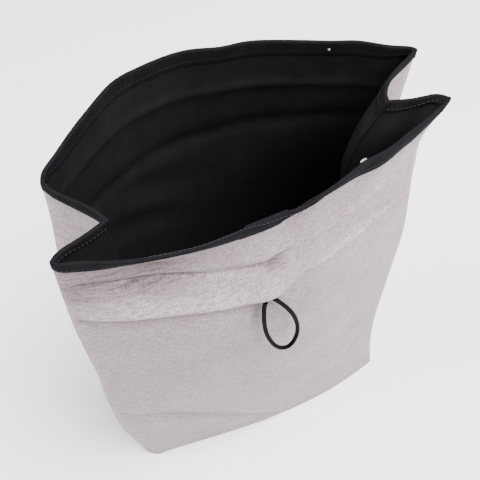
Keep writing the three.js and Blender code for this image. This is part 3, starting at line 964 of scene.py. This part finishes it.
# %% Places along the rim
TAPE_DROP = 9.0
DROP_STEPS = 7
PLEAT_TAPE_SHARE = 0.8
GATHER, GATHER_REACH = 0.42, 12.0
INSIDE_RIM = (0, 0, CLOTH_HEIGHT)


def between_rows(rows, at):
    """For each column of a grid of points, the place between two rows."""
    low = np.minimum(at.astype(int), len(rows) - 2)
    share = (at - low)[:, None]
    column = np.arange(len(at))
    return rows[low, column] * (1 - share) + rows[low + 1, column] * share


def rim_places(place, across, section, from_fold):
    """Where each point of a tape section lies, for every place along a panel's rim."""
    share = PLEAT_TAPE_SHARE if from_fold is from_pleat_fold else 1
    taper = share * (1 - GATHER * hump(from_fold(across), GATHER_REACH))
    levels = TAPE_DROP * np.linspace(-1, 0, DROP_STEPS)
    grid, normal, _ = surface_frame(place, across, CLOTH_HEIGHT + levels, INSIDE_RIM)
    rise = (grid[-1] - grid[-2]) / np.linalg.norm(grid[-1] - grid[-2], axis=1)[:, None]
    rings = []
    for drop, out in section:
        at = np.interp(min(drop, 0) * taper, levels, np.arange(DROP_STEPS))
        rings.append(between_rows(grid, at) + rise * max(drop, 0) + between_rows(normal, at) * out)
    return np.array(rings)


print("the tape reaches down", TAPE_DROP, "mm, on the pleats", round(TAPE_DROP * PLEAT_TAPE_SHARE, 1), "mm")

# %% [markdown]
# ### Tape
# The tape's section is a narrow U with rounded top edges, swept along the rim. The faces between the rings
# can come out facing inwards, so the normals are worked out again on the finished shape.

# %% Tape over the rim
# The tape's section: distance below or above the cloth's edge, and distance out from the linen's face
TAPE_SECTION = [
    (-9, 0.08), (-9, 0.35), (-8.4, 0.48), (-5, 0.5), (-1, 0.5), (0.2, 0.42), (0.6, 0.05), (0.7, -0.75),
    (0.6, -1.5), (0.2, -1.9), (-1, -2.0), (-5, -2.0), (-8.4, -1.95), (-9, -1.85), (-9, -1.58), (0, -1.58),
    (0, 0.08),
]


def binding(name, place, across, width, section, from_fold):
    rings = rim_places(place, across, section, from_fold)
    steps = np.linalg.norm(np.diff(np.array(section), axis=0), axis=1)
    girth = np.concatenate([[0], np.cumsum(steps)])
    uvs = np.stack(np.broadcast_arrays(across[None, :] * width, girth[:, None]), -1).reshape(-1, 2)
    m, n = rings.shape[:2]
    index = np.arange(m * n).reshape(m, n)
    below = np.roll(index, -1, axis=0)
    faces = np.stack([index[:, :-1], index[:, 1:], below[:, 1:], below[:, :-1]], -1).reshape(-1, 4).tolist()
    faces += [index[::-1, 0].tolist(), index[:, -1].tolist()]
    piece = new_piece(name, rings.reshape(-1, 3), faces, uvs, tape)
    shape = bmesh.new()
    shape.from_mesh(piece.data)
    bmesh.ops.recalc_face_normals(shape, faces=shape.faces)
    shape.to_mesh(piece.data)
    shape.free()
    return piece


rim_columns = wall_columns(1, 121)
for wall, place in (("front", front_wall), ("back", back_wall)):
    piece = binding(f"binding_tape_{wall}", place, rim_columns, HALF_PANEL, TAPE_SECTION, from_wall_fold)
    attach(piece, f"{wall}_wall")
    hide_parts(f"binding_{wall}")
for (side, wall), place in pleats.items():
    piece = binding(f"binding_tape_{side}_{wall}", place, pleat_across, HALF_GUSSET, TAPE_SECTION,
                    from_pleat_fold)
    fold_with(piece)
    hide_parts(f"binding_{side}_{wall}_gusset")
print("binding tapes:", 2 + len(pleats))

# %% [markdown]
# ### Corner turns
# The real tape turns a corner without being cut, and makes a small rounded post there. A short tube with a
# rounded top does the same, and closes the gap between two swept tapes.

# %% Corner turns
CORNER_TURN = {"radius": 1.3, "drop": 5.6, "lean": 1.0}
VALLEY_TURN = {"radius": 1.8, "drop": 7.4, "lean": 1.2}
# A corner's post leans along both of its tapes, towards the middle of the bag
CORNER_LEAN = (0.97, 0.25)
INWARDS = {"left": 1, "right": -1, "front": 1, "back": -1}


def tape_turn(name, fold, towards, radius, drop, lean):
    """A rounded post of tape at a fold of the rim, leaning towards the middle of the tape."""
    levels = CLOTH_HEIGHT + np.array((-drop, -drop / 2, -1, 0, 0.45, 0.7))
    post = fold_line(fold, np.minimum(levels, CLOTH_HEIGHT))
    post[:, 2] += np.maximum(levels - CLOTH_HEIGHT, 0)
    post[:, :2] += lean * np.asarray(towards)
    piece, _ = tube(name, post, radius * np.array((1, 1, 1, 1, 0.85, 0.5)), sides=16, material=tape)
    return piece


for wall in ("front", "back"):
    for side in ("left", "right"):
        towards = (CORNER_LEAN[0] * INWARDS[side], CORNER_LEAN[1] * INWARDS[wall])
        post = tape_turn(f"binding_turn_{side}_{wall}", PLEAT_SHAPES[side, wall][0], towards, **CORNER_TURN)
        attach(post, f"{wall}_wall")
for side, fold in (("left", left_valley), ("right", right_valley)):
    post = tape_turn(f"binding_turn_{side}_valley", fold, (INWARDS[side], 0), **VALLEY_TURN)
    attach(post, "base")
print("corner turns:", len(PLEAT_SHAPES) + 2)

# %% [markdown]
# ### The tape's end
# On the front, the tape's end is folded under and laid over its beginning, which shows as a low step in the
# rim. The same tape section is swept again, a little larger, and sinks into the first tape towards the left.

# %% Tape end
END_LIFT = 0.65
END_SINK, END_SINK_REACH = 0.9, 0.16
TAPE_MIDDLE = -0.75
OUTER_POINTS = 14
END_SECTION = [(drop * 1.03 - 0.1 if drop < 0 else drop + END_LIFT,
                out + END_LIFT if out > TAPE_MIDDLE else out - END_LIFT)
               for drop, out in TAPE_SECTION[:OUTER_POINTS]]
END_SECTION += [(-9.3, -2.1), (0.5, -2.1), (0.9, 0.0), (-9.3, 0.45)]


def under_tape_end(across, height):
    """The front wall, sunk towards the left, so that the laid-over end comes out of the tape."""
    sunk = END_SINK * rising(-across, 0, END_SINK_REACH)[..., None]
    return front_wall(across, height) + sunk * (0, 1, -1)


end_columns = np.linspace(-0.2, 0.0, 24)
tape_end = binding("binding_tape_end", under_tape_end, end_columns, HALF_PANEL, END_SECTION, from_wall_fold)
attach(tape_end, "front_wall")
print("tape end:", round(HALF_PANEL * (end_columns[-1] - end_columns[0])), "mm long")

# %% [markdown]
# ## Stitches
# Thread shows as rows of short rounded stitches. Placing hundreds of them by hand would be slow, so a node
# tree does it: it turns a line into a curve, sets points along it at the stitch pitch, and puts a small
# rounded stitch on each, turned along the line. The bar tack later uses the same tree.

# %% Stitch tree
def stitch_tree():
    tree = bpy.data.node_groups.new("stitches_along_lines", "GeometryNodeTree")
    face = tree.interface
    face.new_socket("Lines", in_out="INPUT", socket_type="NodeSocketGeometry")
    for label, value in (("Pitch", 3 * MM), ("Length", 2 * MM), ("Width", 0.5 * MM), ("Turn", 0.0)):
        face.new_socket(label, in_out="INPUT", socket_type="NodeSocketFloat").default_value = value
    face.new_socket("Thread", in_out="INPUT", socket_type="NodeSocketMaterial")
    face.new_socket("Stitches", in_out="OUTPUT", socket_type="NodeSocketGeometry")
    start = add_node(tree, "NodeGroupInput").outputs
    curve = add_node(tree, "GeometryNodeMeshToCurve", inputs={"Mesh": start["Lines"]})
    spaced = add_node(tree, "GeometryNodeResampleCurve", {"mode": "LENGTH"}, {
        "Curve": curve, "Length": start["Pitch"]})
    ball = add_node(tree, "GeometryNodeMeshUVSphere", inputs={"Segments": 8, "Rings": 6, "Radius": 0.5})
    flat = add_node(tree, "ShaderNodeVectorMath", {"operation": "SCALE"}, {
        "Vector": ball.outputs["UV Map"], "Scale": start["Length"]})
    mapped = add_node(tree, "GeometryNodeStoreNamedAttribute", {"data_type": "FLOAT2", "domain": "CORNER"}, {
        "Name": "cut", "Geometry": ball, "Value": flat})
    size = add_node(tree, "ShaderNodeCombineXYZ", inputs={
        "X": start["Width"], "Y": start["Width"], "Z": start["Length"]})
    heading = add_node(tree, "GeometryNodeInputTangent")
    aligned = add_node(tree, "FunctionNodeAlignRotationToVector", {"axis": "Z"}, {"Vector": heading})
    extra = add_node(tree, "FunctionNodeAxisAngleToRotation", inputs={
        "Axis": (1, 0, 0), "Angle": start["Turn"]})
    turned = add_node(tree, "FunctionNodeRotateRotation", {"rotation_space": "LOCAL"}, {
        "Rotation": aligned, "Rotate By": extra})
    placed = add_node(tree, "GeometryNodeInstanceOnPoints", inputs={
        "Points": spaced, "Instance": mapped, "Rotation": turned, "Scale": size})
    real = add_node(tree, "GeometryNodeRealizeInstances", inputs={"Geometry": placed})
    rounded = add_node(tree, "GeometryNodeSetShadeSmooth", inputs={"Geometry": real})
    finished = add_node(tree, "GeometryNodeSetMaterial", inputs={
        "Geometry": rounded, "Material": start["Thread"]})
    add_node(tree, "NodeGroupOutput", inputs={"Stitches": finished})
    return tree


stitching = stitch_tree()
print("stitch tree nodes:", len(stitching.nodes))

# %% [markdown]
# ### From lines to stitches
# A guide of bare edges carries the tree as a modifier. Its result is taken as a plain mesh, and the guide is
# removed, so that what is left is one piece that can ride on a body.

# %% Stitch maker
def stitched(name, lines, material, **sizes):
    """One mesh of stitches along lines of points in millimetres. sizes are the tree's inputs."""
    points = np.concatenate(lines) * MM
    edges, first = [], 0
    for line in lines:
        edges += [(first + i, first + i + 1) for i in range(len(line) - 1)]
        first += len(line)
    mesh = bpy.data.meshes.new(name + "_lines")
    mesh.from_pydata(points.tolist(), edges, [])
    guide = bpy.data.objects.new(name + "_lines", mesh)
    bpy.context.collection.objects.link(guide)
    maker = guide.modifiers.new("stitches", "NODES")
    maker.node_group = stitching
    for label, value in sizes.items():
        maker[stitch_inputs[label.capitalize()]] = value
    maker[stitch_inputs["Thread"]] = material
    done = guide.evaluated_get(bpy.context.evaluated_depsgraph_get())
    result = bpy.data.meshes.new_from_object(done)
    result.name = name
    guide.modifiers.remove(maker)
    bpy.data.objects.remove(guide)
    piece = bpy.data.objects.new(name, result)
    bpy.context.collection.objects.link(piece)
    return piece


stitch_inputs = {item.name: item.identifier for item in stitching.interface.items_tree
                 if item.in_out == "INPUT"}
print("inputs of the stitch tree:", list(stitch_inputs))

# %% [markdown]
# ### Topstitching
# One row near the lower edge holds both leaves of the tape, and shows on each as short dashes. On the front a
# third row sews the tape's end down. It wanders over the fold, because the tape is twisted there.

# %% Topstitching
TOPSTITCH = {"pitch": 2.6 * MM, "length": 1.8 * MM, "width": 0.4 * MM}
# Where the row shows on the outer and the inner leaf, as on the tape's section
STITCH_ROWS = {"front": [(-6.3, 0.52), (-6.3, -2.0)], "back": [(-6.3, 0.5), (-6.3, -1.86)],
               "pleat": [(-6.3, 0.5), (-6.3, -2.0)]}
# Places round the front tape, from the inner leaf over the fold to the outer leaf, and which of them the
# row that sews the tape's end down passes at each place across
ROUND_TAPE = [(-6.3, -2.0), (-1, -2.05), (0.25, -1.95), (0.65, -1.5), (0.75, -0.75), (1.25, 0.4), (0.8, 1.05),
              (-1, 0.6)]
END_ROW = ([-0.62, -0.55, -0.2, -0.12, 0.0, 0.03, 0.09], [1.6, 2.4, 2.8, 5.4, 6, 6.8, 7])

end_across = np.linspace(END_ROW[0][0], END_ROW[0][-1], 70)
end_row = between_rows(rim_places(front_wall, end_across, ROUND_TAPE, from_wall_fold),
                       np.interp(end_across, *END_ROW))
panels = [(wall, None, place, wall_columns(0.985, 181), from_wall_fold)
          for wall, place in (("front", front_wall), ("back", back_wall))]
panels += [(wall, side, place, np.linspace(0.05, 0.96, 40), from_pleat_fold)
           for (side, wall), place in pleats.items()]
stitch_faces = 0
for wall, side, place, across, from_fold in panels:
    lines = list(rim_places(place, across, STITCH_ROWS["pleat" if side else wall], from_fold))
    if place is front_wall:
        lines.append(end_row)
    label = f"{side}_{wall}" if side else wall
    rows = stitched(f"topstitch_{label}", lines, thread, **TOPSTITCH)
    stitch_faces += len(rows.data.polygons)
    if side:
        fold_with(rows)
    else:
        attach(rows, f"{wall}_wall")
print("topstitch faces:", stitch_faces)

# %% [markdown]
# ### Loose yarn ends
# Two short ends of pale linen yarn stick to the tape, one at the front and one at the back. Each is a short
# tube that tapers at both ends and lies along the tape's inner leaf.

# %% Loose yarn ends
YARN_RADIUS = 0.75
YARN_TAPER = np.array((0.4, 0.8, 1, 1, 1, 0.8, 0.4))
for wall, place, ends, row in (("front", front_wall, (0.43, 0.466), (-0.2, -2.5)),
                               ("back", back_wall, (0.609, 0.621), (-4.3, -2.2))):
    across = np.linspace(*ends, len(YARN_TAPER))
    route = rim_places(place, across, [row], from_wall_fold)[0]
    yarn, yarn_length = tube(f"loose_yarn_end_{wall}", route, YARN_RADIUS * YARN_TAPER, sides=10,
                             material=linen)
    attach(yarn, f"{wall}_wall")
    print(wall, "yarn end:", round(yarn_length, 1), "mm long")

# %% [markdown]
# ## Root of the loop
# Under the lip, the loop's ends are held by a bar tack: a few dozen satin stitches side by side. The stitch
# tree makes it too, with its stitches turned across the line and set close together.

# %% Bar tack
TACK_WIDTH, TACK_HEIGHT = 11.0, 5.4
TACK_INSET = 1.9
TACK_STITCH = {"pitch": 0.42 * MM, "length": TACK_HEIGHT * MM, "width": 0.75 * MM, "turn": math.pi / 2}
tack_places = np.linspace(-TACK_WIDTH / 2, TACK_WIDTH / 2, 40)
tack_line = np.array([LOOP_ROOT + root_turn @ (x, TACK_INSET, 0) for x in tack_places])
tack = stitched("bar_tack_stitches", [tack_line], black_thread, **TACK_STITCH)
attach(tack, "front_wall")
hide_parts("loop_bar_tack")
print("bar tack faces:", len(tack.data.polygons))

# %% [markdown]
# ## Button and its shank
# The button's shank is thread wound round and round, so a thin tube follows a helix round a straight core.
# It stands square to the back wall, which leans a little. The button keeps its CAD shape and gets its finish.

# %% Shank and button
SHANK_LENGTH, SHANK_RADIUS, WOUND_THREAD = 3.2, 0.9, 0.3
SHANK_TURNS, SHANK_STEPS = 6, 150
BACK_LEAN = math.radians(-3.33)
shank_low, shank_high = (np.array(corner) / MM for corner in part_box("button_thread"))
shank_middle = (shank_low + shank_high) / 2
back_tilt = np.array(Matrix.Rotation(BACK_LEAN, 3, "X"))
winding = np.linspace(0, 2 * math.pi * SHANK_TURNS, SHANK_STEPS)
wound_half = SHANK_LENGTH / 2 - WOUND_THREAD
helix = np.stack([SHANK_RADIUS * np.cos(winding), np.linspace(-wound_half, wound_half, SHANK_STEPS),
                  SHANK_RADIUS * np.sin(winding)], -1)
core_line = np.array([(0, -SHANK_LENGTH / 2, 0), (0, 0, 0), (0, SHANK_LENGTH / 2, 0)])
shank, wound_length = tube("wound_shank_thread", helix @ back_tilt.T + shank_middle, WOUND_THREAD, sides=8,
                           material=black_thread)
core, _ = tube("shank_core_thread", core_line @ back_tilt.T + shank_middle, SHANK_RADIUS, sides=12,
               material=black_thread)
for piece in (shank, core):
    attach(piece, "back_wall")
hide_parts("button_thread")

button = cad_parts["closure_button"]
button.data.materials.clear()
button.data.materials.append(button_finish)
print("thread wound on the shank:", round(wound_length), "mm")

# %% [markdown]
# ## Table
# The bag stands on a wide sheet of pale paper, so smooth that only a trace of unevenness shows. One square
# face is enough for it. A little light of its own keeps it as pale as paper looks in a bright room.

# %% Table
FLOOR_HALF = 3.0
PAPER_PATCHES_PER_METRE = 2.2
floor_mesh = bpy.data.meshes.new("table_floor")
floor_corners = [(FLOOR_HALF * x, FLOOR_HALF * y, 0) for x, y in ((-1, -1), (1, -1), (1, 1), (-1, 1))]
floor_mesh.from_pydata(floor_corners, [], [(0, 1, 2, 3)])
floor = bpy.data.objects.new("table_floor", floor_mesh)
bpy.context.collection.objects.link(floor)
paper, tree, shader = new_material("pale_paper_table")
paper_place = add_node(tree, "ShaderNodeTexCoord").outputs["Object"]
paper_grain = add_node(tree, "ShaderNodeTexNoise", inputs={
    "Vector": paper_place, "Scale": PAPER_PATCHES_PER_METRE, "Detail": 2})
paper_colour = add_node(tree, "ShaderNodeValToRGB", inputs={"Fac": paper_grain},
                        stops=((0.3, "#ededf0"), (0.7, "#f0eff2")))
fill(tree, shader, {"Base Color": paper_colour, "Roughness": 0.9, "Specular IOR Level": 0.1,
                    "Emission Color": linear("#ffffff"), "Emission Strength": 0.08})
floor_mesh.materials.append(paper)
print("table:", 2 * FLOOR_HALF, "m wide")

# %% [markdown]
# ## Light
# The light is soft and even. A large lamp overhead gives the cloth its gentle modelling, one at the left
# brightens the left side, a weak one at the right keeps that side from going dark, and a pale surround fills
# the shadows.

# %% Light
SURROUND_STRENGTH = 0.27


def soft_lamp(name, place, target, size, watts):
    lamp = bpy.data.lights.new(name, "AREA")
    lamp.shape = "SQUARE"
    lamp.size = size
    lamp.energy = watts
    thing = bpy.data.objects.new(name, lamp)
    thing.location = place
    thing.rotation_euler = (Vector(target) - Vector(place)).to_track_quat("-Z", "Y").to_euler()
    bpy.context.collection.objects.link(thing)


soft_lamp("overhead_softbox", (0.6, -0.42, 1.85), target=(0, 0, 0.1), size=1.4, watts=160)
soft_lamp("right_softbox", (1.6, -0.9, 0.9), target=(0, 0, 0.2), size=1.0, watts=12)
soft_lamp("left_softbox", (-1.6, 0.35, 1.0), target=(0, 0, 0.2), size=1.2, watts=62)
surround = bpy.data.worlds.new("studio_surround")
surround.use_nodes = True
fill(surround.node_tree, surround.node_tree.nodes["Background"], {
    "Color": linear("#f4f4f8"), "Strength": SURROUND_STRENGTH})
bpy.context.scene.world = surround
print("lamps:", len(bpy.data.lights))
